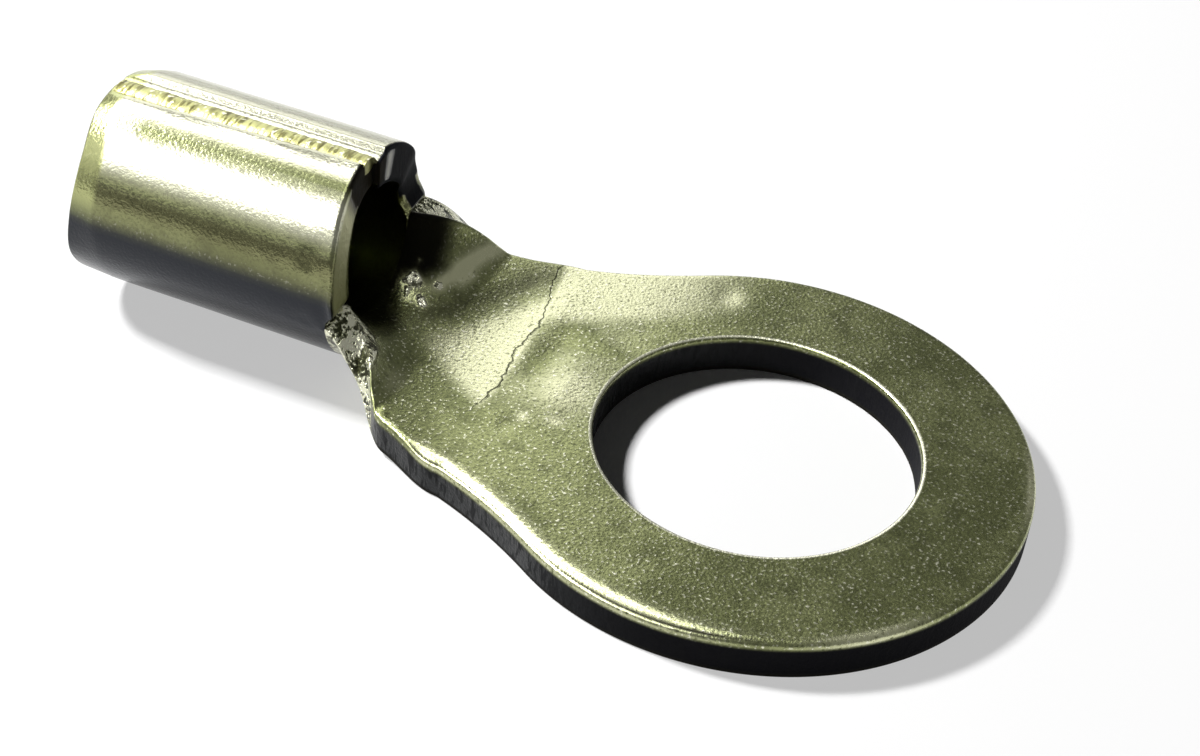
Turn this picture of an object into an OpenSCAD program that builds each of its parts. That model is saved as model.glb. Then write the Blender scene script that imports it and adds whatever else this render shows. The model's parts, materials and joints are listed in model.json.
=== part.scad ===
// Bare ring terminal, stamped from one sheet and rolled into a butt-seam barrel.
// Origin: centre of the stud hole on the underside. +X to the ring's tip, +Z up.

/* [Sheet] */
// thickness of the sheet the whole piece is folded from
sheet_t = 1.1; // [0.9:0.1:1.3]
// rounding that the blanking punch leaves on the upper outer edge
edge_roll = 0.25; // [0.15:0.05:0.4]

/* [Ring] */
// stud hole diameter, clearance for an M8 stud
stud_d = 8.4; // [8.2:0.1:8.8]
// outer diameter of the ring
ring_d = 14.2; // [13.4:0.2:16]
// small break on the upper edge of the stud hole
hole_break = 0.1; // [0.05:0.05:0.2]

/* [Tongue] */
// hole centre to the fold line where the flat tongue ends
tongue_len = 6.75; // [6:0.25:8]
// width of the tongue at the fold line
tongue_w = 9.3; // [8.6:0.1:9.8]
// radius that blends the tongue into the ring
blend_r = 14; // [10:1:20]

/* [Neck] */
// fold line to the front of the barrel
neck_len = 4.15; // [3.6:0.05:5]
// share of the neck that stays flat before the trough curls up
curl_from = 0.5; // [0.3:0.05:0.6]
// taper of each side of the neck before the trough
neck_taper = 0.5; // [0.3:0.05:0.6]
// relief cut into the -Y edge beside the barrel
notch_depth = 1.1; // [0.6:0.1:1.2]
// height of the barrel's underside above the tongue's underside
barrel_lift = 0.3; // [0:0.1:0.5]

/* [Barrel] */
// outer diameter of the rolled barrel
barrel_d = 5.8; // [5.4:0.1:6.2]
// length of the barrel
barrel_len = 7.8; // [6:0.1:10]
// how much the outer rim draws in at the wire end
rim_drop = 0.3; // [0.2:0.05:0.5]
// length over which it draws in
rim_len = 0.75; // [0.4:0.05:1]
// lead-in on the bore at the wire end
lead_in = 0.25; // [0.1:0.05:0.4]

/* [Seam] */
// width of the valley where the two rolled edges butt
seam_w = 1; // [0.8:0.1:1.4]
// depth of that valley
seam_depth = 0.45; // [0.35:0.05:0.6]
// radius of the braze bead that fills its bottom
braze_r = 0.36; // [0.3:0.02:0.42]

/* [Hidden] */
$fn = 96;
ring_r = ring_d / 2;
bore_r = barrel_d / 2 - sheet_t;
rim_r = barrel_d / 2;
mid_r = rim_r - sheet_t / 2;
axis_z = barrel_lift + rim_r;
front_x = -tongue_len - neck_len;
rear_x = front_x - barrel_len;
half_w = tongue_w / 2;
quarter = mid_r * PI / 2; // developed half width of the neck at the barrel
bury = 0.03; // how far the trough's ends sit inside what they join
tuck = 0.01; // the blend arc dips this far into the ring

// centre of the blend arc: blend_r from the fold-line corner, outside the ring
corner_d = norm([tongue_len, half_w]);
reach = ring_r + blend_r - tuck;
along = (corner_d * corner_d + reach * reach - blend_r * blend_r) / (2 * corner_d);
across = sqrt(reach * reach - along * along);
blend_x = (across * half_w - along * tongue_len) / corner_d;
blend_y = (along * half_w + across * tongue_len) / corner_d;
meet_x = blend_x * ring_r / reach; // where the arc reaches the ring

// rounded corner, as [inset, height below the top] pairs
roll = [for (a = [0 : 30 : 90]) [edge_roll * (1 - cos(a)), edge_roll * (1 - sin(a))]];

// the trough, as functions of u: 0 at the fold line, 1 at the barrel
SPAN = 20; // facets across the sheet
function hold(t) = min(1, max(0, t));
function ease(t) = hold(t) * hold(t) * (3 - 2 * hold(t));
function curl(u) = 0.4 + 89.6 * ease((u - curl_from) / (1 - curl_from));
function far_w(u) = half_w - neck_taper * ease(2 * u)
    - (half_w - neck_taper - quarter) * ease((u - 0.45) / 0.4);
function near_w(u) = half_w - 1.5 * neck_taper * ease(u / 0.55)
    - notch_depth * (ease((u - 0.45) / 0.35) - 0.27 * ease((u - 0.8) / 0.2));
function floor_z(u) = barrel_lift * ease(u);
function soft(u) = edge_roll + (0.1 - edge_roll) * u;

// one point of a section: a along the sheet, b through it from the outer side
function bent(x, u, a, b) =
    let (r = mid_r * 90 / curl(u), th = a / r * 180 / PI, q = r + sheet_t / 2 - b)
    [x, q * sin(th), floor_z(u) + sheet_t / 2 + r - q * cos(th)];

// one closed section, inset by g on both faces
function section(x, u, g) =
    let (f = far_w(u) - g, n = near_w(u) - g, e = soft(u), top = sheet_t - g)
    concat(
        [for (i = [0 : SPAN]) bent(x, u, (f + n) * i / SPAN - n, g)],
        [bent(x, u, f, top - e), bent(x, u, f - 0.293 * e, top - 0.293 * e)],
        [for (i = [0 : SPAN]) bent(x, u, f - e - (f + n - 2 * e) * i / SPAN, top)],
        [bent(x, u, 0.293 * e - n, top - 0.293 * e), bent(x, u, -n, top - e)]
    );

STEPS = 26; // sections along the trough
stations = concat(
    [[0.6 - tongue_len, 0, bury], [-tongue_len, 0, bury], [-tongue_len - 0.05, 0, 0]],
    [for (i = [1 : STEPS]) let (u = pow(i / (STEPS + 1), 0.7)) [-tongue_len - neck_len * u, u, 0]],
    [[front_x + 0.05, 1, 0], [front_x, 1, bury], [front_x - 0.6, 1, bury]]
);

// the bent sheet between the flat tongue and the barrel
module trough() {
    rings = [for (s = stations) section(s[0], s[1], s[2])];
    n = len(rings[0]);
    m = len(rings);
    pts = [for (r = rings) each r];
    skin = [
        for (i = [0 : m - 2], j = [0 : n - 1])
        let (k = (j + 1) % n, p = i * n + j, q = i * n + k, r = (i + 1) * n + j, s = (i + 1) * n + k)
        each [[p, q, s], [p, s, r]]
    ];
    // end caps as strips between the sheet's two faces
    cap = [
        for (i = [0 : SPAN - 1])
        let (d = 2 * SPAN + 3 - i)
        each [[i, d, i + 1], [i + 1, d, d - 1]]
    ];
    sides = [[SPAN, SPAN + 3, SPAN + 2], [SPAN, SPAN + 2, SPAN + 1],
        [0, 2 * SPAN + 5, 2 * SPAN + 4], [0, 2 * SPAN + 4, 2 * SPAN + 3]];
    first = concat(cap, sides);
    last = [for (f = first) [f[2] + (m - 1) * n, f[1] + (m - 1) * n, f[0] + (m - 1) * n]];
    polyhedron(points = pts, faces = concat(skin, first, last), convexity = 6);
}

// flat ring with its rolled edge
module ring() {
    rotate_extrude()
        polygon(concat(
            [[0, 0], [ring_r, 0]],
            [for (c = roll) [ring_r - c[0], sheet_t - c[1]]],
            [[0, sheet_t]]
        ));
}

// takes the blend arc and its rolled edge off one side of the tongue
module blend_cut(side) {
    translate([blend_x, side * blend_y, 0])
        rotate_extrude()
            polygon(concat(
                [[0, -1], [blend_r, -1]],
                [for (c = roll) [blend_r + c[0], sheet_t - c[1]]],
                [[blend_r + edge_roll, sheet_t + 1], [0, sheet_t + 1]]
            ));
}

module tongue() {
    difference() {
        translate([-tongue_len, -ring_r, 0])
            cube([tongue_len + meet_x, 2 * ring_r, sheet_t]);
        blend_cut(1);
        blend_cut(-1);
    }
}

// stud hole with its broken upper edge
module stud_hole() {
    translate([0, 0, -1])
        cylinder(d = stud_d, h = sheet_t + 2);
    translate([0, 0, sheet_t - hole_break])
        cylinder(r1 = stud_d / 2, r2 = stud_d / 2 + 2 * hole_break, h = 2 * hole_break);
}

// rolled barrel, lying along X
module tube() {
    rim = [for (a = [0 : 30 : 90]) [rim_r - rim_drop * (1 - sin(a)), rim_len * (1 - cos(a))]];
    translate([rear_x, 0, axis_z])
        rotate([0, 90, 0])
            rotate_extrude()
                polygon(concat(
                    [[bore_r, lead_in], [bore_r + lead_in, 0]],
                    rim,
                    [[rim_r, barrel_len], [bore_r, barrel_len]]
                ));
}

// valley between the two rolled edges
module seam_cut() {
    m = seam_w / 2;
    lip = rim_r - sqrt(rim_r * rim_r - m * m);
    k = seam_depth * 0.43;
    run = m * 0.46;
    over = (k - lip) / (m - run);
    translate([rear_x - 1, 0, axis_z + rim_r])
        rotate([90, 0, 90])
            linear_extrude(height = barrel_len + 2)
                polygon([
                    [-m - 0.3, over * 0.3 - lip], [-run, -k], [0, -seam_depth],
                    [run, -k], [m + 0.3, over * 0.3 - lip],
                    [m + 0.3, 1], [-m - 0.3, 1]
                ]);
}

// braze run along the bottom of the valley
module braze() {
    translate([rear_x + lead_in, 0, axis_z + mid_r - 0.13])
        rotate([0, 90, 0])
            cylinder(r = braze_r, h = barrel_len - lead_in - 0.15);
}

module terminal() {
    color([0.62, 0.61, 0.5])
        union() {
            difference() {
                union() {
                    ring();
                    tongue();
                }
                stud_hole();
            }
            trough();
            difference() {
                tube();
                seam_cut();
            }
            braze();
        }
}

terminal();
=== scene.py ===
import bpy
import json
import math
from mathutils import Matrix, Vector, noise


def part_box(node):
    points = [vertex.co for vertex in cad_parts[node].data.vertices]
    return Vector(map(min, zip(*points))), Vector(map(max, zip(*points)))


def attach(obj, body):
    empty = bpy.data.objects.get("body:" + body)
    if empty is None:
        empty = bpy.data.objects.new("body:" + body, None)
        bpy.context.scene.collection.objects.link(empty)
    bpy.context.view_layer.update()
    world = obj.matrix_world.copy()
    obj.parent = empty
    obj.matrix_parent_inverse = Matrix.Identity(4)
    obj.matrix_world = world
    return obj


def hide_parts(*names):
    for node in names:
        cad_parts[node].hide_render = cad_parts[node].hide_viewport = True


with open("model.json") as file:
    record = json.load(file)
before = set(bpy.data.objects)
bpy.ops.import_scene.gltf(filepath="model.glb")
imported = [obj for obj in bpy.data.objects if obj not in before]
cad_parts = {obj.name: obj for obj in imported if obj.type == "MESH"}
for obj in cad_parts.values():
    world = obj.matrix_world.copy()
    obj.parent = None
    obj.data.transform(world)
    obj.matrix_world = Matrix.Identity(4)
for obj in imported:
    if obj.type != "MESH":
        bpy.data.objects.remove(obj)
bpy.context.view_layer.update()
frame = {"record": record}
mm = 0.001
mounts = {m["name"]: m for m in frame["record"]["mounts"]}
lowCorner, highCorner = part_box("terminal")

# driving sizes in millimetres, read from the frame where it states them
size = {
    "sheet": mounts["tongue_top"]["pos_m"][2] / mm,
    "studR": mounts["stud_hole"]["dims"]["r_mm"],
    "boreR": mounts["wire_bore"]["dims"]["r_mm"],
    "axisZ": mounts["wire_bore"]["pos_m"][2] / mm,
    "ringR": highCorner[0] / mm,
    "rearX": lowCorner[0] / mm,
    "foldX": -6.75,  # where the flat tongue ends
    "neck": 4.15,  # fold line to barrel
    "foldHalf": 4.65,  # half width at the fold line
    "blendR": 14.0,  # arc from tongue to ring
    "curlFrom": 0.5,  # share of the neck where the trough starts
    "farTaper": 0.5,  # what each side of the neck loses before the trough
    "nearTaper": 0.75,
    "nearNotch": 1.1,  # relief cut beside the barrel, viewer's side
    "notchBack": 0.3,  # what the sheet widens again at its end
}
size["rimR"] = size["boreR"] + size["sheet"]
size["midR"] = size["rimR"] - size["sheet"] / 2
size["lift"] = size["axisZ"] - size["rimR"]
size["frontX"] = size["foldX"] - size["neck"]
size["quarter"] = size["midR"] * math.pi / 2


class Graph:
    def __init__(self, tree):
        self.tree = tree

    def node(self, kind, settings=None, sockets=None, out=0):
        made = self.tree.nodes.new(kind)
        for key, value in (settings or {}).items():
            setattr(made, key, value)
        for key, value in (sockets or {}).items():
            if isinstance(value, Wire):
                self.tree.links.new(value.socket, made.inputs[key])
            elif value is not None:
                made.inputs[key].default_value = value
        return Wire(self, made.outputs[out] if len(made.outputs) else None, made)

    def mixColour(self, factor, first, second):
        sockets = {0: factor, 6: first, 7: second}
        return self.node("ShaderNodeMix", {"data_type": "RGBA"}, sockets, out=2)


class Wire:
    def __init__(self, graph, socket, owner):
        self.graph = graph
        self.socket = socket
        self.owner = owner

    def math(self, operation, *values, clamp=False):
        settings = {"operation": operation, "use_clamp": clamp}
        return self.graph.node("ShaderNodeMath", settings, dict(enumerate(values)))

    def other(self, name):
        return Wire(self.graph, self.owner.outputs[name], self.owner)

    def __add__(self, value):
        return self.math("ADD", self, value)

    __radd__ = __add__

    def __mul__(self, value):
        return self.math("MULTIPLY", self, value)

    __rmul__ = __mul__

    def __sub__(self, value):
        return self.math("SUBTRACT", self, value)

    def __rsub__(self, value):
        return self.math("SUBTRACT", value, self)

    def __truediv__(self, value):
        return self.math("DIVIDE", self, value)

    def __pow__(self, value):
        return self.math("POWER", self, value)

    def __abs__(self):
        return self.math("ABSOLUTE", self)

    def between(self, low, high):
        # 0 at low, 1 at high, held outside; low may be the larger
        sockets = {0: self, 1: low, 2: high, 3: 0.0, 4: 1.0}
        return self.graph.node("ShaderNodeMapRange", {"interpolation_type": "SMOOTHSTEP"}, sockets)

    def clamp(self):
        return self.math("ADD", self, 0.0, clamp=True)


blank = {
    "joinX": -5.4,  # where the ring's grid hands over to the strip
    "step": 0.17,  # widest mesh spacing
    "fine": 0.022,  # spacing at an edge
    "rollWidth": 0.42,  # punch-side rounding on the broad stretch
    "rollDepth": 0.24,
    "rollLeast": 0.14,  # the same where it is tight
    "burrRoll": 0.05,  # die-side rounding
    "burrGrowth": 0.07,  # and how it grows towards the barrel
    "holeRoll": 0.07,
    "holeBurr": 0.04,
    "seamGap": 0.02,
    "seamRoll": 0.1,  # inner corner of the butt edges
    "seamShift": 0.1,  # the butt line lies off centre, to +Y
    "lipNear": 0.56,  # rounded lips of the butt seam
    "lipFar": 0.3,
    "lipDepth": 0.24,
    "rimX": -17.65,  # where the rim's cone starts
    "rimDepth": 0.17,
    "endRoll": 0.06,  # outer corner of the wire end
    "leadIn": 0.25,
    "wallRows": 7,
    "ringWidth": 2.9,  # stud hole to outline, sets the spacing of the rays
    "arcSteps": 170,
    "blendSteps": 12,
    "troughStep": 0.11,
    "troughTail": 0.6,  # the last stretch before the barrel has finer rows
    "tailSteps": (0.03, 0.09),  # first and widest spacing of rows
    "wingSteps": (0.022, 0.15, 1.12),  # and of columns, with their growth
    "runSteps": (0.003, 0.018),  # as shares of the barrel's length
    "leastBend": 0.05,  # curvature per metre that counts as flat
    "edgeCut": 0.6,  # share of the cut face's finish at its edges
    "noseLine": (0.03, 0.1, 0.035),  # fine line under the roll: depth, place, width
}

# parts of the neck, as shares of its length, over which each side changes
neckSpans = {
    "farTaper": (0, 0.5),
    "farClose": (0.45, 0.85),
    "nearTaper": (0, 0.55),
    "notch": (0.45, 0.8),
    "notchBack": (0.8, 1),
}

# where the barrel's edges stray from square: |a| from, |a| to, change in x
edgeSteps = {
    "frontNear": ((3.1, 3.6, 0.28), (3.2, 7.6, -0.48)),
    "frontFar": ((3.7, 4.2, -0.2), (4.6, 5.5, 0.2)),
    "rear": ((2.2, 5.0, 0.35), (5.2, 6.6, -0.17)),
    "rim": ((5.3, 6.8, -0.3),),
}

# fine drawn lines along the lips of the seam: distance from the lip, depth
lipLines = {
    -1: ((0.04, 0.02), (0.13, 0.014)),
    1: ((0.05, 0.012), (0.2, 0.008), (0.42, 0.01)),
}
lipLineWidth = 0.025


def blendCentre():
    corner = math.hypot(size["foldX"], size["foldHalf"])
    reach = size["ringR"] + size["blendR"]
    along = (corner**2 + reach**2 - size["blendR"] ** 2) / (2 * corner)
    across = math.sqrt(reach**2 - along**2)
    x = (across * size["foldHalf"] + along * size["foldX"]) / corner
    y = (along * size["foldHalf"] - across * size["foldX"]) / corner
    return x, y, reach


blendX, blendY, blendReach = blendCentre()
meetX = blendX * size["ringR"] / blendReach
seamAt = {
    -1: math.pi * size["midR"] + blank["seamShift"] - blank["seamGap"],
    1: math.pi * size["midR"] - blank["seamShift"] - blank["seamGap"],
}


def neckShare(x):
    return min(1.0, max(0.0, (size["foldX"] - x) / size["neck"]))


def smooth(low, high, value):
    t = min(1.0, max(0.0, (value - low) / (high - low)))
    return t * t * (3 - 2 * t)


def peak(value, centre, width):
    return math.exp(-(((value - centre) / width) ** 2))


def halfWidth(x, side=1):
    if x > meetX:
        return math.sqrt(max(0.0, size["ringR"] ** 2 - x * x))
    if x > size["foldX"]:
        return blendY - math.sqrt(size["blendR"] ** 2 - (x - blendX) ** 2)
    u = neckShare(x)
    step = {name: smooth(*span, u) for name, span in neckSpans.items()}
    if side > 0:
        closing = size["foldHalf"] - size["farTaper"] - size["quarter"]
        return size["foldHalf"] - size["farTaper"] * step["farTaper"] - closing * step["farClose"]
    notch = size["nearNotch"] * step["notch"] - size["notchBack"] * step["notchBack"]
    return size["foldHalf"] - size["nearTaper"] * step["nearTaper"] - notch


shoulder = {1: size["quarter"], -1: halfWidth(size["frontX"], -1)}


def stray(edge, a):
    return sum(change * smooth(low, high, abs(a)) for low, high, change in edgeSteps[edge])


def frontAt(a):
    return size["frontX"] + stray("frontNear" if a < 0 else "frontFar", a)


def rearAt(a):
    return size["rearX"] + stray("rear", a)


def onBarrel(x, a):
    side = 1 if a > 0 else -1
    return x < size["frontX"] or (x < size["frontX"] + 0.3 and abs(a) > shoulder[side] + 0.01)


def rimAt(a):
    return blank["rimX"] + stray("rim", a)


def barrelX(share, a):
    return frontAt(a) + (rearAt(a) - frontAt(a)) * share


def graded(length, first, widest, growth=1.45):
    places = [0.0]
    gap = first
    while places[-1] + gap < length:
        places.append(places[-1] + gap)
        gap = min(widest, gap * growth)
    if length - places[-1] < 0.5 * gap and len(places) > 2:
        places.pop()
    return places + [length]


def bothEnds(low, high, first, widest):
    half = graded((high - low) / 2, first, widest)
    return [low + p for p in half] + [high - p for p in reversed(half[:-1])]


def roundDrop(inward, width, depth):
    if inward >= width:
        return 0.0
    k = 1 - max(0.0, inward) / width
    return depth * (1 - math.sqrt(max(0.0, 1 - k * k)))


def edgeDistance(x, a):
    if x > meetX:
        return size["ringR"] - math.hypot(x, a)
    if x > size["foldX"]:
        return math.hypot(x - blendX, abs(a) - blendY) - size["blendR"]
    side = 1 if a > 0 else -1
    if not onBarrel(x, a):
        return halfWidth(x, side) - abs(a)
    if abs(a) > shoulder[side]:
        return max(0.0, frontAt(a) - x)
    return math.hypot(size["frontX"] - x, shoulder[side] - abs(a))


def rollShare(x, a):
    # 1 on the stretch from the neck round to the foot of the ring, else 0
    turn = math.degrees(math.atan2(a, x))
    if a > 0:
        return 0.0
    return ramp("rollTurn", turn) * (0.15 + 0.85 * ramp("rollNeck", x))


def topDrop(x, a):
    share = rollShare(x, a)
    width = blank["rollLeast"] + (blank["rollWidth"] - blank["rollLeast"]) * share
    depth = blank["rollLeast"] + (blank["rollDepth"] - blank["rollLeast"]) * share
    inward = edgeDistance(x, a)
    drops = [roundDrop(inward, width, depth)]
    if share > 0.05:
        depth, place, width = blank["noseLine"]
        drops[0] += depth * share * peak(inward, place, width)
    if x > blank["joinX"]:
        hole = math.hypot(x, a) - size["studR"]
        drops.append(roundDrop(hole, blank["holeRoll"], blank["holeRoll"]))
    if onBarrel(x, a):
        seam = seamAt[1 if a > 0 else -1] - abs(a)
        drops.append(roundDrop(seam, blank["seamRoll"], blank["seamRoll"]))
        drops.append(max(0.0, blank["leadIn"] - (x - rearAt(a))))
    return max(drops)


def bottomRise(x, a):
    burr = blank["burrRoll"] + blank["burrGrowth"] * neckShare(x)
    rises = [roundDrop(edgeDistance(x, a), burr, burr)]
    if x > blank["joinX"]:
        hole = math.hypot(x, a) - size["studR"]
        rises.append(roundDrop(hole, blank["holeBurr"], blank["holeBurr"]))
    if onBarrel(x, a):
        side = 1 if a > 0 else -1
        share = (x - size["frontX"]) / (size["rearX"] - size["frontX"])
        # the near lip broadens towards the wire end
        lip = blank["lipFar"] if side > 0 else blank["lipNear"] * (0.8 + 0.35 * share)
        inward = seamAt[side] - abs(a)
        near = max(0.0, 1 - inward / lip)
        rises.append(blank["lipDepth"] * (0.55 * ramp("lipCurve", near) + 0.45 * near**2))
        for line, depth in lipLines[side]:
            rises.append(depth * peak(inward, lip + line, lipLineWidth))
        cone = (rimAt(a) - x) / (rimAt(a) - rearAt(a))
        if cone > 0:
            rises.append(blank["rimDepth"] * (0.35 + 0.65 * ramp("rimTop", abs(a))) * cone)
        end = blank["endRoll"] + (rises[-1] if cone > 0 else 0.0)
        rises.append(roundDrop(x - rearAt(a), blank["endRoll"], end))
    return max(rises)


def blankGrid():
    points = []
    index = {}
    faces = []

    def at(x, a):
        key = (round(x, 5), round(a, 5))
        if key not in index:
            index[key] = len(points)
            points.append((x, a))
        return index[key]

    joinHalf = halfWidth(blank["joinX"])
    across = bothEnds(-joinHalf, joinHalf, blank["fine"], blank["step"])
    shares = [p / joinHalf for p in across]

    # ring and tongue root, as rays from the stud hole to the outline
    meetAngle = math.atan2(blendY, blendX)
    rim = []
    for i in range(blank["arcSteps"] + 1):
        angle = -meetAngle + 2 * meetAngle * i / blank["arcSteps"]
        rim.append((size["ringR"] * math.cos(angle), size["ringR"] * math.sin(angle)))
    upper = []
    for i in range(1, blank["blendSteps"]):
        x = meetX + (blank["joinX"] - meetX) * i / blank["blendSteps"]
        upper.append((x, halfWidth(x)))
    line = [(blank["joinX"], p) for p in reversed(across)]
    loop = rim + upper + line + [(x, -y) for x, y in reversed(upper)]
    spacing = (blank[name] / blank["ringWidth"] for name in ("fine", "step"))
    shape = bothEnds(0.0, 1.0, *spacing)
    columns = []
    for x, y in loop:
        far = math.hypot(x, y)
        radii = [size["studR"] + (far - size["studR"]) * s for s in shape]
        columns.append([at(x / far * r, y / far * r) for r in radii])
    for left, right in zip(columns, columns[1:] + columns[:1]):
        for j in range(len(shape) - 1):
            faces.append((left[j], left[j + 1], right[j + 1], right[j]))

    # tongue and trough, as rows across the strip
    rows = [blank["joinX"]]
    while rows[-1] > size["frontX"] + blank["troughTail"]:
        rows.append(rows[-1] - blank["troughStep"])
    tail = graded(rows[-1] - size["frontX"], *blank["tailSteps"])
    rows = rows[:-1] + [size["frontX"] + p for p in reversed(tail)]
    lattice = []
    for i, x in enumerate(rows):
        half = {side: halfWidth(x, side) if i else joinHalf for side in (-1, 1)}
        lattice.append([at(x, s * half[1 if s > 0 else -1]) for s in shares])
    for first, second in zip(lattice, lattice[1:]):
        for j in range(len(shares) - 1):
            faces.append((first[j], first[j + 1], second[j + 1], second[j]))

    # barrel, as rows across its whole girth
    wings = {}
    for side in (-1, 1):
        steps = graded(seamAt[side] - shoulder[side], *blank["wingSteps"])
        wings[side] = [side * (seamAt[side] - p) for p in steps][:-1]
    inner = [s * shoulder[1 if s > 0 else -1] for s in shares]
    girth = wings[-1] + inner + list(reversed(wings[1]))
    runs = bothEnds(0.0, 1.0, *blank["runSteps"])
    barrel = [[at(barrelX(share, a), a) for a in girth] for share in runs]
    for first, second in zip(barrel, barrel[1:]):
        for j in range(len(girth) - 1):
            faces.append((first[j], first[j + 1], second[j + 1], second[j]))
    return points, faces


def mound(x, a, centreX, centreA, reachX, reachA, height):
    return height * peak(x, centreX, reachX) * peak(a, centreA, reachA)


def speckle(x, a, scale, seed):
    return noise.noise(Vector((x * scale, a * scale, seed)))


# shallow marks the press leaves, as centre, reach and height in millimetres
marks = {
    "dip": (-8.4, 0.2, 1.1, 2.6, -0.07),
    "ridge": (-6.75, 1.2, 0.45, 2.6, 0.022),
    "smudge": (-6.0, 1.0, 0.45, 0.7, -0.03),
    "swell": (-5.3, -0.6, 0.5, 1.3, 0.02),
    "nick": (-5.9, -2.4, 0.18, 0.3, -0.025),
    "farSpot": (-2.8, 5.4, 0.35, 0.45, -0.02),
}

# paler and darker patches of the tongue, laid out the same way; the glint entries are painted
# highlights
patches = {
    "patch": (-5.05, -0.45, 0.7, 0.8, 1.0),
    "smudge": (-5.75, 1.7, 0.5, 0.5, -0.55),
    "smudgeLow": (-6.2, 0.3, 0.28, 0.7, -0.45),
    "ripple": (-4.9, 1.5, 0.6, 0.22, -0.4),
    "nearDark": (-7.9, -2.9, 1.0, 0.8, -0.5),
    "nearRough": (-9.0, -2.6, 0.3, 0.5, 0.5),
    "spot": (-2.61, 5.3, 0.3, 0.4, 0.9),
    "glintNear": (-5.66, -2.0, 0.13, 0.15, 1.2),
    "glintHole": (-4.86, -1.8, 0.22, 0.12, 1.2),
    "glintRidge": (-9.32, 2.35, 0.16, 0.42, 1.2),
}

# painted highlights: clusters of bright glints at the foot of the far wing
gleams = {
    "front": (-9.75, 0.75, 0.3, 0.36, 1.3),
    "back": (-10.6, 1.5, 0.32, 0.36, 1.6),
}

# pressed line across the tongue, an arc whose ends turn towards the barrel
crease = {
    "x": -6.72,
    "bow": 0.021,
    "crown": -0.7,
    "width": 0.05,
    "near": (-2.8, -1.4),  # where it fades in and out
    "far": (4.9, 4.2),
}

# straight lines on the blank: value, where it has it, slope
slants = {
    "ridge": (-9.45, 2.6, 0.26),  # folded-up line at the foot of the far wing
    "wedge": (-9.0, -0.3, 0.62),  # painted highlight: pale wedge before the crease
    "wedgeNear": (-0.5, -9.2, -0.7),
    "beyond": (2.3, -6.3, 0.6),  # painted highlight: pale stretch after the crease
    "band": (-9.61, 0.11, 0.55),  # painted shade band along the wedge
    "gap": (6.24, -14.5, 0.05 / 3),  # painted shade stripe along the barrel, between the lamps' reflections
}

# where form and finish change: 0 at the first place, 1 at the second
ramps = {
    "rollTurn": (-62, -98),  # degrees round the stud hole
    "rollNeck": (-7.9, -7.2),
    "lipCurve": (0, 0.25),  # share of the lip
    "rimTop": (2.6, 3.8),
    "ridgeNear": (1.0, 1.9),
    "ridgeFar": (4.5, 3.7),
    "raggedStart": (-8.4, -9.2),  # ragged form of the relief
    "raggedIn": (0.75, 0.1),
    "pinchBack": (-12.6, -11.1),
    "pinchTop": (5.6, 4.8),
    "pinchLow": (2.6, 3.6),
    "cutDarkens": (-4.5, 0.5),
    "cutMottle": (-0.15, 0.15),
    "bare": (-8.9, -9.5),  # painted highlight on the cut edge beside the barrel
    "faceTop": (5.7, 6.3),
    "hornTop": (6.8, 7.1),
    "wedgeEdge": (-0.4, 0.4),
    "wedgeNear": (-0.4, 0.5),
    "beforeCrease": (0.08, -0.08),
    "afterCrease": (-0.08, 0.08),
    "beyondEdge": (-0.6, 0.5),
    "beyondHole": (-1.8, -4.4),
    "sheenHole": (-3.2, -5.0),
    "sheenNeck": (-9.0, -7.5),
    "sheenNear": (-2.5, -1.0),
    "grainRises": (-3.2, -5.4),
    "bandNear": (-1.0, 0.2),
    "bandFar": (4.6, 3.4),
    "hollowStart": (-9.6, -10.2),
    "hollowSide": (1.2, 2.2),
    "mouth": (-9.9, -10.9),
    "wornIn": (0.3, 0.15),  # distances from the outline
    "rollIn": (0.5, 0.3),
    "lineOuter": (0.05, 0.09),
    "lineInner": (0.15, 0.11),
    "tornStart": (-9.3, -9.9),  # bare metal of the relief, painted with glints
    "tornIn": (0.9, 0.2),
    "tornSpot": (-0.05, 0.1),
    "chipStart": (-8.5, -9.5),  # underside
    "facetSpot": (-0.2, 0.0),
    "facetIn": (1.0, 0.5),
    "sootIn": (0.3, 0.1),
    "lowSide": (4.55, 3.75),  # barrel, by height up its side
    "brownSide": (5.0, 4.7),
    "silverSide": (4.7, 5.3),
    "paleLow": (5.0, 5.6),
    "paleHigh": (7.0, 6.8),
    "gapStart": (-17.5, -16.7),
    "rimStart": (0.02, -0.02),
}


def slant(name, value):
    start, origin, slope = slants[name]
    return start + slope * (value - origin)


def ramp(name, value):
    return smooth(*ramps[name], value)


def creaseAt(a):
    return crease["x"] - crease["bow"] * (a - crease["crown"]) ** 2


def ridgeShare(x, a):
    return ramp("ridgeNear", a) * ramp("ridgeFar", a) * peak(x, slant("ridge", a), 0.17)


def pressMarks(x, a):
    total = 0.06 * ridgeShare(x, a) + sum(mound(x, a, *mark) for mark in marks.values())
    total += 0.01 * speckle(x, a, 0.6, 3.1) * (1 - neckShare(x) * 0.5)
    # the torn upper edge of the relief beside the barrel
    ragged = ramp("raggedStart", x) * ramp("raggedIn", edgeDistance(x, a)) * (1 if a < 0 else 0.35)
    if ragged > 0:
        total -= ragged * (0.03 + 0.2 * abs(speckle(x, a, 2.3, 7.7)))
    return total


def barrelMarks(x, a):
    # crumpled corner where the barrel was pinched, and slight waviness
    pinch = ramp("pinchBack", x) * ramp("pinchTop", -a) * ramp("pinchLow", -a)
    waves = noise.noise(Vector((x * 0.5, a * 1.4, 5.5)))
    return pinch * (0.02 + 0.05 * speckle(x, a, 3.1, 1.3)) + 0.006 * waves


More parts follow.
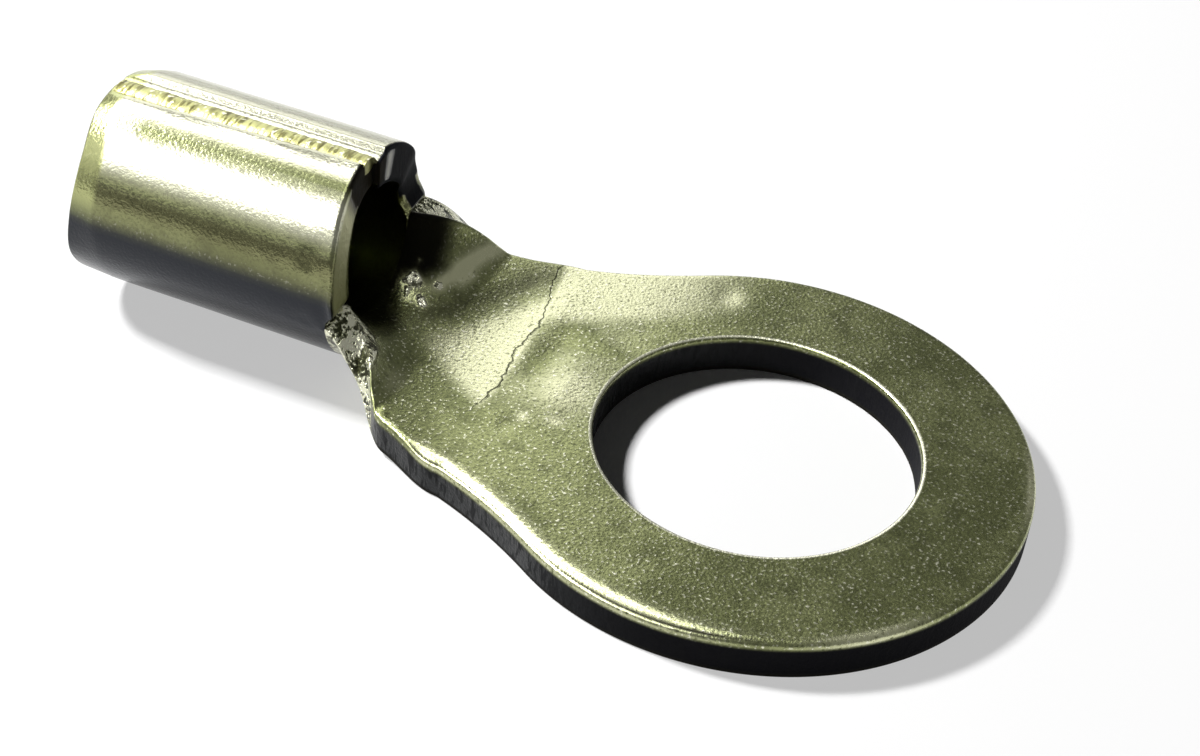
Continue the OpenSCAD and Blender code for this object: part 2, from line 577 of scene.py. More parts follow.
finish = {
    "olive": (0.295, 0.32, 0.145),
    "deep": (0.2, 0.22, 0.095),
    # dark pits of the grain; also the painted shade in the crease and in the barrel's stripe
    "pit": (0.11, 0.12, 0.055),
    "pale": (0.62, 0.63, 0.4),
    "fleck": (0.8, 0.8, 0.62),
    # painted shade: near-black for the hollow, the bore, the underside's edges and the gaps between
    # chips
    "soot": (0.013, 0.012, 0.007),
    # painted shade: the barrel's lower side and the underside beside it, dark as if reflecting dark
    # ground
    "under": (0.032, 0.034, 0.039),
    "rim": (0.42, 0.44, 0.2),
    # painted highlight: silver sheen on the barrel's upper side, where the lamps reflect
    "silver": (0.56, 0.55, 0.46),
    # painted shade: a brown band on the barrel's side under the sheen, and in the bore's mouth
    "brown": (0.2, 0.185, 0.1),
    # sheared faces: dark partly from their rough shear and partly painted shade, deeper to the
    # right
    "cutLeft": (0.031, 0.032, 0.033),
    "cutSpot": (0.009, 0.009, 0.01),
    "cutRight": (0.006, 0.006, 0.008),
    # the barrel's front faces: painted light on the near one, painted shade on the top and far ones
    "faceNear": (0.5, 0.5, 0.31),
    "faceTop": (0.016, 0.013, 0.008),
    "faceFar": (0.008, 0.009, 0.013),
    # painted highlight on the cut edges beside the barrel
    "flange": (0.4, 0.4, 0.34),
    "braze": (0.46, 0.46, 0.2),
    "brazeDark": (0.14, 0.13, 0.05),
}


# how strongly each zone of the paint shows
strength = {
    "wedge": 0.95,
    "sheen": 0.2,
    "streak": 1.3,
    "worn": 1.2,
    "roll": 0.6,
    "line": 0.85,
    "band": 0.3,
    "hollow": 0.95,
    "mouth": 0.3,
    "skew": 0.9,  # millimetres by which the painted highlights' outlines wander
    "waver": 0.3,  # and the hollow's
    "tube": 0.45,
    "gap": 0.6,
    "silver": 0.65,
    "brown": 0.55,
    "rim": 0.8,
}

# how rough the grain is: towards 1 it crinkles, above 1 it breaks into chips
sparks = {
    "plain": 0.3,
    "neck": 0.12,
    "streak": 0.4,
    "gleam": 1.4,
    "torn": 2.0,
    "chipNear": 2.0,
    "chipFar": 0.85,
    "barrel": 0.8,
    "barrelLow": -0.4,
    "barrelGap": -0.4,
    "barrelFringe": -0.3,
    "wall": 0.5,
    "wallBare": 1.8,
    "wallBarrel": 0.2,
}


def blend(first, second, share):
    return tuple(p + (q - p) * share for p, q in zip(first, second))


def paintCut(x, a):
    # sheared faces: dark, partly their rough shear and partly painted shade deepening left to
    # right, with a painted highlight beside the barrel; and the barrel's open end, painted light on
    # its near face and painted shade on its top and far faces
    shade = blend(finish["cutLeft"], finish["cutRight"], ramp("cutDarkens", x))
    whole = a > 0 or onBarrel(x, a)
    share = 1.0 if whole else 0.3 + 0.7 * ramp("cutMottle", speckle(x, a, 3.3, 6.1))
    shade = blend(shade, finish["flange"], ramp("bare", x) * share)
    if not onBarrel(x, a) or x <= frontAt(a) - 0.2:
        return shade
    if a < 0:
        return blend(finish["faceNear"], finish["faceTop"], ramp("faceTop", -a))
    shade = blend(finish["faceFar"], finish["flange"], 0.5 * peak(a, 6.75, 0.13))
    return blend(shade, finish["faceTop"], ramp("hornTop", a))


def paintTongue(x, a):
    # upper face of the ring, the tongue and the neck, with painted highlights where it reflects the
    # lamps
    past = x - creaseAt(a)
    wedge = ramp("wedgeEdge", x - slant("wedge", a)) * ramp("wedgeNear", a - slant("wedgeNear", x))
    beyond = ramp("beyondEdge", a - slant("beyond", x)) * ramp("beyondHole", x)
    sheen = ramp("sheenHole", x) * ramp("sheenNeck", x) * ramp("sheenNear", a)
    pale = wedge * ramp("beforeCrease", past) + beyond * ramp("afterCrease", past)
    tone = strength["wedge"] * pale + strength["sheen"] * sheen
    tone += sum(mound(x, a, *patch) for patch in patches.values())
    streak = ridgeShare(x, a)
    spark = sparks["plain"] + sparks["neck"] * ramp("grainRises", x + 0.3 * a)
    spark += sparks["streak"] * streak

    # painted shade: dark band, hollow under the far wing, mouth of the barrel
    band = ramp("bandNear", a) * ramp("bandFar", a) * peak(x, slant("band", a), 0.42)
    waver = strength["waver"] * speckle(x, a, 1.7, 4.4)
    hollow = ramp("hollowStart", x + waver) * ramp("hollowSide", a + waver)
    soot = strength["band"] * band + strength["hollow"] * hollow
    soot += strength["mouth"] * ramp("mouth", x)

    # painted highlights with an irregular outline
    skewX = x + strength["skew"] * speckle(x, a, 1.9, 0.6)
    skewA = a + strength["skew"] * speckle(x, a, 1.9, 9.1)
    gleam = sum(mound(skewX, skewA, *spot) for spot in gleams.values())
    soot *= 1 - min(1.0, gleam + streak)
    # painted highlight: the gleams and the bright streak along the ridge
    tone += gleam + strength["streak"] * streak
    spark += sparks["gleam"] * gleam

    # painted highlight along the rolled edge with a painted shade line under it, and two painted
    # highlights on the ring's edge
    inward = edgeDistance(x, a)
    if x > 0:
        turn = math.degrees(math.atan2(a, x))
        worn = peak(turn, 13, 9) + peak(turn, -48, 10)
        tone += strength["worn"] * worn * ramp("wornIn", inward)
    rolled = rollShare(x, a)
    tone += strength["roll"] * rolled * ramp("rollIn", inward)
    line = ramp("lineOuter", inward) * ramp("lineInner", inward)
    soot = max(soot, strength["line"] * line * min(1.0, 2 * rolled))

    # torn relief beside the barrel, bare metal painted bright as glints with spots of painted shade
    torn = ramp("tornStart", x) * ramp("tornIn", inward) if a < 0 else 0.0
    soot = max(soot * (1 - torn), torn * ramp("tornSpot", speckle(x, a, 4, 2.2)))
    return tone + torn, spark + sparks["torn"] * torn, finish["soot"], soot


def paintUnder(x, a):
    # painted shade at its edges; beside the barrel, painted shade broken by bright chips as painted
    # glints
    inward = min(edgeDistance(x, a), math.hypot(x, a) - size["studR"])
    chipped = ramp("chipStart", x)
    shade = blend(finish["soot"], finish["under"], chipped)
    facet = ramp("facetSpot", speckle(x, a, 3.2, 8.8)) * ramp("facetIn", inward)
    soot = (1 - chipped) * ramp("sootIn", inward) + chipped * (1 - facet)
    spark = sparks["plain"] + sparks["chipNear" if a < 0 else "chipFar"] * chipped
    return chipped, spark, shade, soot


def paintTube(x, a):
    # outside of the barrel, painted as light falls on it: painted shade below, a band of painted
    # brown shade, then a painted silver sheen, with a painted shade stripe between the lamps'
    # reflections
    up = abs(a)
    low = ramp("lowSide", up)
    rim = ramp("rimStart", x - rimAt(a))
    # painted shade: a dark stripe between the two bands of lamp reflection
    gap = peak(-a, slant("gap", x), 0.2) * ramp("gapStart", x)
    # painted highlight: the barrel's upper side paler where the lamps reflect
    tone = strength["tube"] * ramp("paleLow", up) * ramp("paleHigh", up) - strength["gap"] * gap
    brown = strength["brown"] * ramp("brownSide", up) * (1 - low) * (1 - rim)
    silver = ramp("silverSide", up) * (1 - gap)
    shade = blend(blend(finish["brown"], finish["silver"], silver), finish["rim"], rim)
    shade = blend(blend(shade, finish["brown"], brown), finish["under"], low)
    shade = blend(shade, finish["pit"], min(1.0, 1.2 * gap))
    covers = (low, brown, strength["rim"] * rim, strength["silver"] * silver)
    soot = max(*covers, min(1.0, 1.1 * gap))
    spark = sparks["barrel"] + sparks["barrelLow"] * low + sparks["barrelGap"] * gap
    spark += sparks["barrelFringe"] * peak(-a, 5.3, 0.28)
    return tone, spark, shade, soot


def paintBore(x):
    shade = finish["brown" if x > -11.9 else "soot"]  # painted shade in the bore, browner at its mouth
    return 0.0, sparks["barrel"], shade, 0.3


def paint(x, a, top, wall):
    # the first value above 0 is paler, much of it painted highlight; spark roughens the grain,
    # shade covers by its fourth value
    if wall:
        spark = sparks["wall"] + sparks["wallBare"] * ramp("bare", x)
        spark = sparks["wallBarrel"] if onBarrel(x, a) else spark
        return 0.0, spark, (*paintCut(x, a), 1.0)
    if onBarrel(x, a):
        tone, spark, shade, soot = paintBore(x) if top else paintTube(x, a)
        # painted shade on the front corners of the barrel's wings
        if x > frontAt(a) - 0.09 and (a > 4.3 or a < -6.3):
            shade = finish["faceFar" if a > 0 else "faceTop"]
            soot = 1.0
    else:
        tone, spark, shade, soot = paintTongue(x, a) if top else paintUnder(x, a)
    return tone, spark, (*shade, min(1.0, soot))


def makeBlank():
    points, faces = blankGrid()
    edgeUse = {}
    for face in faces:
        for i, j in zip(face, face[1:] + face[:1]):
            edgeUse.setdefault((min(i, j), max(i, j)), []).append((i, j))
    border = [uses[0] for uses in edgeUse.values() if len(uses) == 1]
    borderPoints = sorted({i for pair in border for i in pair})

    verts = []
    cut = []
    tones = []
    topAt = []
    bottomAt = []
    for x, a in points:
        swell = 0.0 if onBarrel(x, a) else pressMarks(x, a)
        topAt.append(len(verts))
        verts.append((x, a, size["sheet"] - topDrop(x, a) + swell))
        cut.append(0.0)
        tones.append(paint(x, a, True, False))
    for x, a in points:
        bottomAt.append(len(verts))
        dent = barrelMarks(x, a) if onBarrel(x, a) else 0.0
        verts.append((x, a, bottomRise(x, a) + max(0.0, dent)))
        cut.append(0.0)
        tones.append(paint(x, a, False, False))
    wallAt = {}
    for i in borderPoints:
        x, a = points[i]
        high = verts[topAt[i]][2]
        low = verts[bottomAt[i]][2]
        cut[topAt[i]] = cut[bottomAt[i]] = blank["edgeCut"]
        chain = [bottomAt[i]]
        for k in range(1, blank["wallRows"]):
            chain.append(len(verts))
            verts.append((x, a, low + (high - low) * k / blank["wallRows"]))
            cut.append(1.0)
            tones.append(paint(x, a, False, True))
        wallAt[i] = chain + [topAt[i]]
    quads = [tuple(topAt[i] for i in face) for face in faces]
    quads += [tuple(bottomAt[i] for i in reversed(face)) for face in faces]
    for i, j in border:
        first = wallAt[i]
        second = wallAt[j]
        for k in range(blank["wallRows"]):
            quads.append((first[k], second[k], second[k + 1], first[k + 1]))
    mesh = bpy.data.meshes.new("terminalSheet")
    mesh.from_pydata([tuple(c * mm for c in v) for v in verts], [], quads)
    layers = {"cut": cut, "tone": [t[0] for t in tones], "spark": [t[1] for t in tones]}
    for name, values in layers.items():
        mesh.attributes.new(name, "FLOAT", "POINT").data.foreach_set("value", values)
    flat = [c for t in tones for c in t[2]]
    mesh.attributes.new("shade", "FLOAT_COLOR", "POINT").data.foreach_set("color", flat)
    if mesh.polygons[0].normal.z < 0:  # the first face is on the upper side
        mesh.flip_normals()
    mesh.update()
    sheet = bpy.data.objects.new("terminal_sheet", mesh)
    bpy.context.scene.collection.objects.link(sheet)
    print("blank", len(verts), "points", len(quads), "faces")
    return sheet


# braze that flowed along the butt seam
bead = {
    "startX": size["rearX"] + 0.3,
    "endX": size["frontX"] - 0.17,
    "atY": -0.17,
    "atZ": 5.83,
    "halfWidth": 0.36,
    "halfHeight": 0.2,
    "lump": 0.14,
    "lumpScale": 2.6,  # per millimetre along the seam
    "lumpStretch": 0.4,  # and how much coarser across it
    "lumpDetail": 3.0,
    "lumpRoughness": 0.6,
    "seed": 3.0,
    "rows": 190,
    "sides": 28,
}


def addInput(tree, name, value):
    made = tree.interface.new_socket(name=name, in_out="INPUT", socket_type="NodeSocketFloat")
    made.default_value = value
    return made.identifier


def foldTree():
    tree = bpy.data.node_groups.new("foldSheet", "GeometryNodeTree")
    tree.interface.new_socket(name="Geometry", in_out="INPUT", socket_type="NodeSocketGeometry")
    tree.interface.new_socket(name="Geometry", in_out="OUTPUT", socket_type="NodeSocketGeometry")
    inputs = {
        "foldX": size["foldX"] * mm,
        "neck": size["neck"] * mm,
        "midR": size["midR"] * mm,
        "sheet": size["sheet"] * mm,
        "lift": size["lift"] * mm,
        "curlFrom": size["curlFrom"],
    }
    identifiers = {name: addInput(tree, name, value) for name, value in inputs.items()}
    graph = Graph(tree)
    given = graph.node("NodeGroupInput")
    value = {name: given.other(name) for name in inputs}
    place = graph.node("GeometryNodeInputPosition")
    x = graph.node("ShaderNodeSeparateXYZ", None, {0: place})
    a, b = x.other(1), x.other(2)
    u = given.math("DIVIDE", value["foldX"] - x, value["neck"], clamp=True)
    closing = (u - value["curlFrom"]) / (1 - value["curlFrom"])
    closing = closing.clamp()
    closing = closing * closing * (3 - 2 * closing)
    bend = given.math("MAXIMUM", closing / value["midR"], blank["leastBend"])
    turn = bend * a
    sine = given.math("SINE", turn)
    cosine = given.math("COSINE", turn)
    halfSine = given.math("SINE", turn * 0.5)
    middle = value["sheet"] * 0.5
    y = sine / bend + (middle - b) * sine
    lift = value["lift"] * u * u * (3 - 2 * u)
    z = lift + middle * (1 - cosine) + b * cosine + halfSine * halfSine * 2 / bend
    folded = graph.node("ShaderNodeCombineXYZ", None, {0: x, 1: y, 2: z})
    moved = graph.node("GeometryNodeSetPosition", None, {"Geometry": given, "Position": folded})
    whole = graph.node("GeometryNodeRealizeInstances", None, {0: moved})
    sockets = {"Geometry": whole, "Material": tinMaterial}
    done = graph.node("GeometryNodeSetMaterial", None, sockets)
    graph.node("NodeGroupOutput", None, {0: done})
    return tree, identifiers, inputs


def beadTree():
    tree = bpy.data.node_groups.new("brazeRun", "GeometryNodeTree")
    tree.interface.new_socket(name="Geometry", in_out="INPUT", socket_type="NodeSocketGeometry")
    tree.interface.new_socket(name="Geometry", in_out="OUTPUT", socket_type="NodeSocketGeometry")
    lengths = ("startX", "endX", "atY", "atZ", "halfWidth", "halfHeight", "lump")
    inputs = {name: bead[name] * mm for name in lengths}
    inputs["seed"] = bead["seed"]
    identifiers = {name: addInput(tree, name, value) for name, value in inputs.items()}
    graph = Graph(tree)
    given = graph.node("NodeGroupInput")
    value = {name: given.other(name) for name in inputs}
    ends = [
        graph.node("ShaderNodeCombineXYZ", None, {0: value[name], 1: value["atY"], 2: value["atZ"]})
        for name in ("startX", "endX")
    ]
    line = graph.node("GeometryNodeCurvePrimitiveLine", None, {"Start": ends[0], "End": ends[1]})
    sockets = {"Curve": line, "Count": bead["rows"]}
    path = graph.node("GeometryNodeResampleCurve", {"mode": "COUNT"}, sockets)
    sockets = {"Radius": value["halfHeight"], "Resolution": bead["sides"]}
    ring = graph.node("GeometryNodeCurvePrimitiveCircle", None, sockets)
    sockets = {"Curve": path, "Profile Curve": ring, "Fill Caps": True}
    swept = graph.node("GeometryNodeCurveToMesh", None, sockets)
    place = graph.node("GeometryNodeInputPosition")
    x = graph.node("ShaderNodeSeparateXYZ", None, {0: place})
    wide = value["atY"] + (x.other(1) - value["atY"]) * (value["halfWidth"] / value["halfHeight"])
    flatter = graph.node("ShaderNodeCombineXYZ", None, {0: x, 1: wide, 2: x.other(2)})
    shaped = graph.node("GeometryNodeSetPosition", None, {"Geometry": swept, "Position": flatter})
    cross = bead["lumpStretch"] / mm
    scaled = stretched(graph, graph.node("GeometryNodeInputPosition"), (1 / mm, cross, cross))
    sockets = {"Vector": scaled, "W": value["seed"], "Scale": bead["lumpScale"]}
    sockets.update({"Detail": bead["lumpDetail"], "Roughness": bead["lumpRoughness"]})
    rough = graph.node("ShaderNodeTexNoise", {"noise_dimensions": "4D"}, sockets)
    outward = graph.node("GeometryNodeInputNormal")
    sockets = {0: outward, "Scale": (rough - 0.5) * value["lump"]}
    push = graph.node("ShaderNodeVectorMath", {"operation": "SCALE"}, sockets)
    lumpy = graph.node("GeometryNodeSetPosition", None, {"Geometry": shaped, "Offset": push})
    whole = graph.node("GeometryNodeRealizeInstances", None, {0: lumpy})
    sockets = {"Geometry": whole, "Material": brazeMaterial}
    done = graph.node("GeometryNodeSetMaterial", None, sockets)
    graph.node("NodeGroupOutput", None, {0: done})
    return tree, identifiers, inputs


def makeBead():
    mesh = bpy.data.meshes.new("brazeRun")
    made = bpy.data.objects.new("braze_run", mesh)
    bpy.context.scene.collection.objects.link(made)
    mesh = applyTree(made, *beadTree())
    volume = sum(p.center.dot(p.normal) * p.area for p in mesh.polygons) / 3
    if volume < 0:
        mesh.flip_normals()
    print("braze", len(mesh.polygons), "faces")
    return made


def applyTree(piece, tree, identifiers, inputs):
    modifier = piece.modifiers.new("nodes", "NODES")
    modifier.node_group = tree
    for name, value in inputs.items():
        modifier[identifiers[name]] = value
    deps = bpy.context.evaluated_depsgraph_get()
    mesh = bpy.data.meshes.new_from_object(piece.evaluated_get(deps), depsgraph=deps)
    piece.modifiers.remove(modifier)
    old = piece.data
    piece.data = mesh
    if old.users == 0 and isinstance(old, bpy.types.Mesh):
        bpy.data.meshes.remove(old)
    for polygon in mesh.polygons:
        polygon.use_smooth = True
    return mesh


def newMaterial(name):
    material = bpy.data.materials.new(name)
    material.use_nodes = True
    material.node_tree.nodes.clear()
    return material, Graph(material.node_tree)


def noiseAt(graph, vector, scale, detail=2.0, rough=0.5, distortion=0.0):
    sockets = {"Vector": vector, "Scale": scale, "Detail": detail, "Roughness": rough}
    sockets["Distortion"] = distortion
    return graph.node("ShaderNodeTexNoise", None, sockets)


def stretched(graph, vector, factors):
    return graph.node("ShaderNodeVectorMath", {"operation": "MULTIPLY"}, {0: vector, 1: factors})


def attribute(graph, name, output="Fac"):
    return graph.node("ShaderNodeAttribute", {"attribute_name": name}).other(output)


def opaque(colour):
    return (*colour, 1.0)


def over(graph, factor, below, name):
    return graph.mixColour(factor, below, opaque(finish[name]))


# noises of the tin skin: scale per millimetre, detail, roughness
grains = {
    "grain": (11.0, 2.5, 0.6),
    "coarse": (3.6, 3.0),
    "patch": (0.55, 3.0),
    "blotch": (1.6, 4.0),
    "fleck": (12.0, 1.5),
}

# the stretched ones: scale along each axis, then detail, roughness, distortion
streaks = {
    "streak": ((6.0, 6.0, 1.6), 5.0, 0.6, 0.6),
    "scuff": ((2.2, 9.0, 3.0), 4.0, 0.6, 1.5),
}

# depth of the fine relief in millimetres
reliefs = {
    "grain": 0.013,
    "coarse": 0.003,
    "crinkle": 0.03,
    "chip": 0.03,
    "fold": 0.012,
    "fleck": 0.008,
    "streak": 0.02,
}


def makeTin():
    material, graph = newMaterial("tinnedCopper")
    where = graph.node("ShaderNodeTexCoord").other("Object")
    place = stretched(graph, where, (1 / mm, 1 / mm, 1 / mm))
    tone = attribute(graph, "tone")
    spark = attribute(graph, "spark")
    cutFace = attribute(graph, "cut").between(0.55, 0.9)
    shade = attribute(graph, "shade", "Color")
    cover = shade.other("Alpha")
    noises = {name: noiseAt(graph, place, *given) for name, given in grains.items()}
    for name, (factors, *given) in streaks.items():
        noises[name] = noiseAt(graph, stretched(graph, place, factors), 1.0, *given)
    grain, coarse, fleck, streak = (noises[k] for k in ("grain", "coarse", "fleck", "streak"))

    # painted shade in the crease and a painted highlight along the stud hole's rim, on the upper
    # side only
    x = graph.node("ShaderNodeSeparateXYZ", None, {0: place})
    y, z = x.other(1), x.other(2)
    upperSide = z.between(0.8, 0.95)
    bow = y - crease["crown"]
    waver = (coarse - 0.5) * 0.3 + (noises["patch"] - 0.5) * 1.1
    apart = abs(x - crease["x"] + bow * bow * crease["bow"] + waver)
    fold = apart.between(crease["width"], 0.0) * upperSide
    fold = fold * y.between(*crease["near"]) * y.between(*crease["far"])
    radial = (x * x + y * y) ** 0.5
    holeRimHighlight = abs(radial - size["studR"] - blank["holeRoll"]).between(0.05, 0.02) * upperSide

    skin = over(graph, noises["patch"].between(0.42, 0.6), opaque(finish["olive"]), "deep")
    skin = over(graph, noises["blotch"].between(0.53, 0.68) * 0.45, skin, "pit")
    skin = over(graph, grain.between(0.56, 0.34) * 0.5, skin, "pit")
    # paler towards the painted highlights and sheen
    skin = over(graph, (tone + (coarse - 0.5) * tone * 0.8).clamp(), skin, "pale")
    skin = over(graph, noises["scuff"].between(0.68, 0.76) * 0.5, skin, "pale")
    matt = spark.between(0.7, 0.4)
    # painted glints: bright flecks where the grain is matt, with dark pits between them
    skin = over(graph, fleck.between(0.59, 0.75) * matt, skin, "fleck")
    skin = over(graph, fleck.between(0.42, 0.28) * matt * 0.8, skin, "pit")
    skin = over(graph, fold * 0.7, skin, "pit")
    # crumpled spots break into bright chips and dark gaps, painted as glints and shade
    chips = spark.between(1.0, 1.5)
    chip = (coarse * 0.6 + grain * 0.4).between(0.44, 0.53)
    skin = over(graph, chips * chip, skin, "fleck")
    skin = over(graph, chips * (1 - chip) * 0.85, skin, "soot")
    skin = over(graph, holeRimHighlight, skin, "fleck")

    # what covers the skin, mostly painted shade and sheen, streaked darker on the cut faces
    cover = cover * (1 - chips)
    level = graph.node("ShaderNodeSeparateColor", None, {"Color": shade}, out=1)
    mottle = noises["streak"].between(0.46, 0.62) * level.between(0.2, 0.06) * 0.4
    covering = graph.mixColour(cutFace, shade, over(graph, mottle, shade, "cutSpot"))
    colour = graph.mixColour(cover, skin, covering)

    rough = 0.31 + (grain - 0.5) * 0.1 + cutFace * 0.08 - spark * 0.15
    rough = rough.math("MAXIMUM", rough, 0.16)
    crinkle = spark.math("MAXIMUM", spark - 0.9, 0.0)
    height = (grain - 0.5) * spark * reliefs["grain"]
    height = height + (coarse - 0.5) * (crinkle * reliefs["crinkle"] + reliefs["coarse"])
    height = height + chips * chip * reliefs["chip"] - fold * reliefs["fold"]
    height = height + (fleck - 0.5) * matt * reliefs["fleck"]
    height = height + (streak - 0.5) * cutFace * reliefs["streak"]
    bumps = {"Strength": 1.0, "Distance": mm, "Height": height}
    relief = graph.node("ShaderNodeBump", None, bumps)
    sockets = {"Base Color": colour, "Metallic": 1.0, "Roughness": rough, "Normal": relief}
    metal = graph.node("ShaderNodeBsdfPrincipled", None, sockets)
    # the near-black painted shade doesn't shine
    sockets = {"Base Color": covering, "Roughness": 0.7, "Specular IOR Level": 0.06}
    dullShade = graph.node("ShaderNodeBsdfPrincipled", None, {**sockets, "Normal": relief})
    level = graph.node("ShaderNodeSeparateColor", None, {"Color": covering}, out=1)
    dull = level.between(0.034, 0.02) * cover
    surface = graph.node("ShaderNodeMixShader", None, {0: dull, 1: metal, 2: dullShade})
    graph.node("ShaderNodeOutputMaterial", None, {"Surface": surface})
    return material


def makeBraze():
    material, graph = newMaterial("brazeMetal")
    where = graph.node("ShaderNodeTexCoord").other("Object")
    ribbed = stretched(graph, where, (9 / mm, 1.6 / mm, 1.6 / mm))
    ribs = noiseAt(graph, ribbed, 1.0, 3.0, 0.6)
    grit = noiseAt(graph, stretched(graph, where, (1 / mm, 1 / mm, 1 / mm)), 6.0, 3.0)
    colour = over(graph, ribs.between(0.38, 0.6), opaque(finish["brazeDark"]), "braze")
    colour = over(graph, grit.between(0.6, 0.68), colour, "fleck")
    height = (ribs - 0.5) * 0.03 + (grit - 0.5) * 0.02
    bumps = {"Strength": 1.0, "Distance": mm, "Height": height}
    relief = graph.node("ShaderNodeBump", None, bumps)
    sockets = {"Base Color": colour, "Metallic": 1.0, "Roughness": 0.3 + grit * 0.14}
    shader = graph.node("ShaderNodeBsdfPrincipled", None, {**sockets, "Normal": relief})
    graph.node("ShaderNodeOutputMaterial", None, {"Surface": shader})
    return material


tinMaterial = makeTin()
brazeMaterial = makeBraze()
print("finishes ready")

sheet = makeBlank()
tree, identifiers, inputs = foldTree()
applyTree(sheet, tree, identifiers, inputs)
print("sheet folded", len(sheet.data.polygons))
braze = makeBead()
for piece in (sheet, braze):
    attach(piece, "root")
    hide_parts("terminal")


studio = {
    "target": (-4.52, 0.37, 1.1),
    "azimuth": 19.36,
    "elevation": 39.06,
    "roll": 5.86,
    "distance": 54.5,
    "lens": 62.7,
    "ambient": 0.26,  # world as metal reflects it
    "fill": 0.022,  # world as matt surfaces receive it
    "floorHalf": 600,
    "floorInner": 0.95,
    "floorOuter": 0.5,  # the rest of the white comes from the floor's own glow
    "floorChange": (4.6, 6.8),  # from under the stud hole to outside the ring
    "lampCentre": (-8, 0, 1),  # what the lamps face
}

# each lamp: the way it stands, how far off, its size across and along the part, its radiance
lamps = {
    "lampKey": {
        "direction": (-0.7, 0.0, 0.71),
        "distance": 240,
        "across": 32,
        "along": 32,
        "glow": 275,
        "matt": True,  # the only one that lights matt surfaces
    },
    "lampEdge": {
        "direction": (-0.69, -0.195, 0.69),
        "distance": 240,
        "across": 44,
        "along": 44,
        "glow": 60,
    },
    "lampBandFar": {
        "direction": (-0.44, 0.262, 0.859),
        "distance": 240,
        "across": 66,
        "along": 185,
        "glow": 5.0,
    },
    "lampBandNear": {
        "direction": (-0.44, -0.509, 0.74),
        "distance": 240,
        "across": 106,
        "along": 185,
        "glow": 5.0,
    },
    "lampLow": {
        "direction": (-0.44, -0.79, 0.43),
        "distance": 240,
        "across": 80,
        "along": 185,
        "glow": 0.8,
    },
    "lampTop": {
        "direction": (-0.17, -0.05, 0.98),
        "distance": 240,
        "across": 56,
        "along": 66,
        "glow": 7.0,
    },
    "lampWindow": {
        "direction": (-0.53, 0.74, 0.41),
        "distance": 260,
        "across": 175,
        "along": 185,
        "glow": 1.7,
    },
    "lampSide": {
        "direction": (-0.9, -0.35, 0.26),
        "distance": 260,
        "across": 110,
        "along": 90,
        "glow": 0.8,
    },
}


def makeFloor():
    half = studio["floorHalf"] * mm
    corners = [(-half, -half, 0), (half, -half, 0), (half, half, 0), (-half, half, 0)]
    mesh = bpy.data.meshes.new("studioFloor")
    mesh.from_pydata(corners, [], [(0, 1, 2, 3)])
    floor = bpy.data.objects.new("studio_floor", mesh)
    bpy.context.scene.collection.objects.link(floor)
    material, graph = newMaterial("paleFloor")
    place = graph.node("ShaderNodeTexCoord").other("Object")
    radius = graph.node("ShaderNodeVectorMath", {"operation": "LENGTH"}, {0: place}, out=1)
    outside = radius.between(*(p * mm for p in studio["floorChange"]))
    inner, outer = ((studio[k],) * 3 for k in ("floorInner", "floorOuter"))
    matteColour = graph.mixColour(outside, opaque(inner), opaque(outer))
    matte = graph.node("ShaderNodeBsdfDiffuse", None, {"Color": matteColour})
    rays = graph.node("ShaderNodeLightPath")
    seen = rays.math("MAXIMUM", rays, rays.other("Is Glossy Ray"))
    seen = rays.math("MAXIMUM", seen, rays.other("Is Transmission Ray"))
    rest = opaque(tuple(1.0 - c for c in outer))
    glowColour = graph.mixColour(outside * seen, (0, 0, 0, 1), rest)
    glow = graph.node("ShaderNodeEmission", None, {"Color": glowColour, "Strength": 1.0})
    both = graph.node("ShaderNodeAddShader", None, {0: matte, 1: glow})
    graph.node("ShaderNodeOutputMaterial", None, {"Surface": both})
    mesh.materials.append(material)


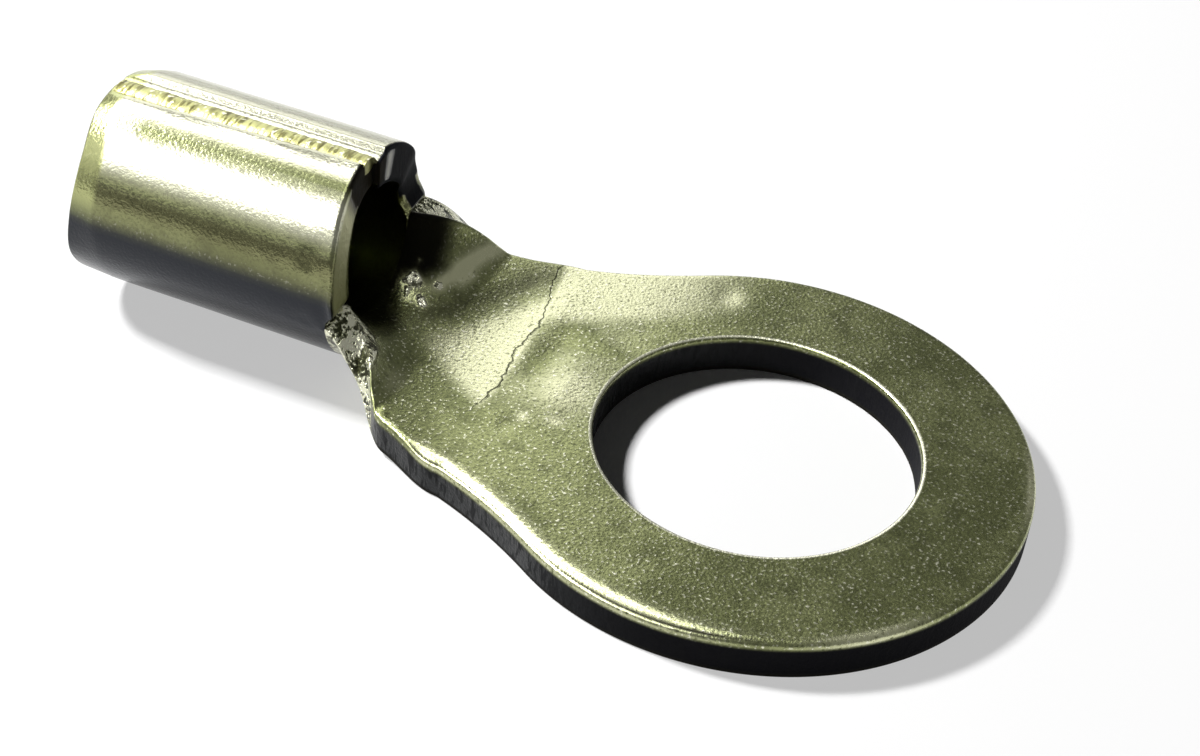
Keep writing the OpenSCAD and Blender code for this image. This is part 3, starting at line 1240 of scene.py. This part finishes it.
def makeWorld():
    world = bpy.data.worlds.new("studio")
    world.use_nodes = True
    world.node_tree.nodes.clear()
    graph = Graph(world.node_tree)
    ambient, fill = (opaque((studio[k],) * 3) for k in ("ambient", "fill"))
    rays = graph.node("ShaderNodeLightPath")
    level = graph.mixColour(rays.other("Is Glossy Ray"), fill, ambient)
    level = graph.mixColour(rays.other("Is Camera Ray"), level, (1, 1, 1, 1))
    glow = graph.node("ShaderNodeBackground", None, {"Color": level, "Strength": 1.0})
    graph.node("ShaderNodeOutputWorld", None, {"Surface": glow})
    bpy.context.scene.world = world


def makeLamp(name, direction, distance, across, along, glow, matt=False):
    data = bpy.data.lights.new(name, "AREA")
    data.shape = "RECTANGLE"
    data.size = across * mm
    data.size_y = along * mm
    data.energy = glow * math.pi * across * along * mm * mm
    lamp = bpy.data.objects.new(name, data)
    lamp.visible_diffuse = matt  # the cards only show as reflections
    bpy.context.scene.collection.objects.link(lamp)
    aim = Vector(direction).normalized()
    lengthwise = (Vector((1, 0, 0)) - aim * aim.x).normalized()
    crosswise = lengthwise.cross(aim)
    spot = (aim * distance + Vector(studio["lampCentre"])) * mm
    facing = Matrix((crosswise, lengthwise, aim)).transposed().to_4x4()
    lamp.matrix_world = Matrix.Translation(spot) @ facing


def makeCamera():
    azimuth, elevation, roll = (math.radians(studio[k]) for k in ("azimuth", "elevation", "roll"))
    level = Vector((math.sin(azimuth), -math.cos(azimuth), 0))
    back = level * math.cos(elevation) + Vector((0, 0, math.sin(elevation)))
    right = (-back).cross(Vector((0, 0, 1))).normalized()
    up = right.cross(-back)
    turnedRight = math.cos(roll) * right + math.sin(roll) * up
    turnedUp = math.cos(roll) * up - math.sin(roll) * right
    data = bpy.data.cameras.new("camera")
    data.lens = studio["lens"]
    data.sensor_width = 36
    data.clip_start = 0.001
    camera = bpy.data.objects.new("camera", data)
    bpy.context.scene.collection.objects.link(camera)
    spot = Vector(studio["target"]) * mm + back * studio["distance"] * mm
    facing = Matrix((turnedRight, turnedUp, back)).transposed().to_4x4()
    camera.matrix_world = Matrix.Translation(spot) @ facing
    bpy.context.scene.camera = camera


makeFloor()
makeWorld()
for name, lamp in lamps.items():
    makeLamp(name, **lamp)
makeCamera()
bpy.context.scene.view_settings.view_transform = "Standard"
print("studio ready")
